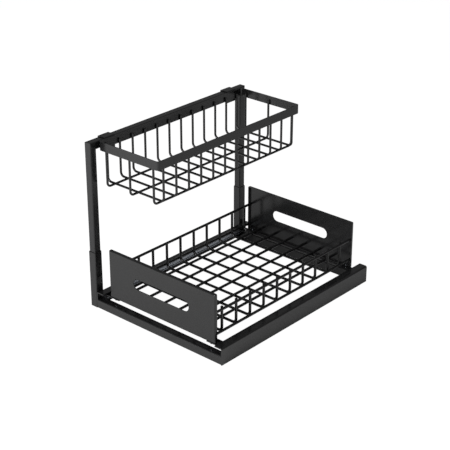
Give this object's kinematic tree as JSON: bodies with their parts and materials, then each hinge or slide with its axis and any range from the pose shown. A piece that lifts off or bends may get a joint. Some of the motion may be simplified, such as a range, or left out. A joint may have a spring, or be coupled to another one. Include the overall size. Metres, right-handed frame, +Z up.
{
  "type": "under sink organizer",
  "caption": "Two-tier under-sink organizer: black steel base frame with a pull-out wire drawer on ball runners, and a wire basket hooked on a plug-in upper frame.",
  "frame": {"origin": "middle of the whole footprint, on the floor", "axes": "+X to the right along the drawer's travel, +Y to the posts at the back, +Z up; the drawer pulls out towards -X"},
  "size_m": [0.43, 0.3376, 0.3377],
  "materials": {
    "powder_coat": "satin black powder coat on steel sheet, tube and flat bar",
    "wire_coat": "glossy black powder coat on steel wire",
    "zinc_steel": "bright zinc plated rolled steel",
    "ball_steel": "polished ball bearing steel",
    "black_plastic": "moulded nylon plug",
    "rubber": "black rubber"
  },
  "bodies": {
    "base": {"side_rail_left": "powder_coat", "side_rail_right": "powder_coat", "long_rail_front": "powder_coat", "long_rail_back": "powder_coat", "post_sleeve_left": "powder_coat", "post_sleeve_right": "powder_coat", "foot_plugs": "black_plastic", "runner_channel_front": "zinc_steel", "runner_channel_back": "zinc_steel", "runner_buffers": "rubber"},
    "upper_frame": {"post_tube_left": "powder_coat", "post_tube_right": "powder_coat", "top_beam": "powder_coat"},
    "drawer": {"end_panel_left": "powder_coat", "end_panel_right": "powder_coat", "drawer_brackets": "powder_coat", "bracket_screws": "zinc_steel", "slide_bar_front": "zinc_steel", "slide_bar_back": "zinc_steel", "tray_top_wires": "wire_coat", "tray_side_wires": "wire_coat", "tray_wire_1": "wire_coat", "tray_wire_2": "wire_coat", "tray_wire_3": "wire_coat", "tray_wire_4": "wire_coat", "tray_wire_5": "wire_coat", "tray_wire_6": "wire_coat", "tray_wire_7": "wire_coat", "tray_wire_8": "wire_coat", "tray_wire_9": "wire_coat", "tray_wire_10": "wire_coat", "tray_rod_1": "wire_coat", "tray_rod_2": "wire_coat", "tray_rod_3": "wire_coat", "tray_rod_4": "wire_coat", "tray_rod_5": "wire_coat", "tray_rod_6": "wire_coat"},
    "cage_front": {"ball_cage_front": "zinc_steel", "runner_balls_front": "ball_steel"},
    "cage_back": {"ball_cage_back": "zinc_steel", "runner_balls_back": "ball_steel"},
    "basket": {"basket_rim": "powder_coat", "basket_long_wires": "wire_coat", "hook_left": "powder_coat", "hook_right": "powder_coat", "basket_wire_1": "wire_coat", "basket_wire_2": "wire_coat", "basket_wire_3": "wire_coat", "basket_wire_4": "wire_coat", "basket_wire_5": "wire_coat", "basket_wire_6": "wire_coat", "basket_wire_7": "wire_coat", "basket_wire_8": "wire_coat", "basket_wire_9": "wire_coat", "basket_wire_10": "wire_coat", "basket_wire_11": "wire_coat", "basket_wire_12": "wire_coat"}
  },
  "joints": [
    {"name": "drawer_slide", "type": "slide", "parent": "base", "child": "drawer", "axis": [-1, 0, 0], "range_m": [0, 0.3]},
    {"name": "cage_front_slide", "type": "slide", "parent": "base", "child": "cage_front", "axis": [-1, 0, 0], "range_m": [0, 0.15]},
    {"name": "cage_back_slide", "type": "slide", "parent": "base", "child": "cage_back", "axis": [-1, 0, 0], "range_m": [0, 0.15]},
    {"name": "upper_frame_plug", "type": "slide", "parent": "base", "child": "upper_frame", "axis": [0, 0, 1], "range_m": [0, 0.1]},
    {"name": "basket_lift", "type": "slide", "parent": "upper_frame", "child": "basket", "axis": [0, 0, 1], "range_m": [0, 0.05]}
  ],
  "couplings": [
    {"joint": "cage_front_slide", "follows": "drawer_slide", "ratio": 0.5},
    {"joint": "cage_back_slide", "follows": "drawer_slide", "ratio": 0.5}
  ]
}
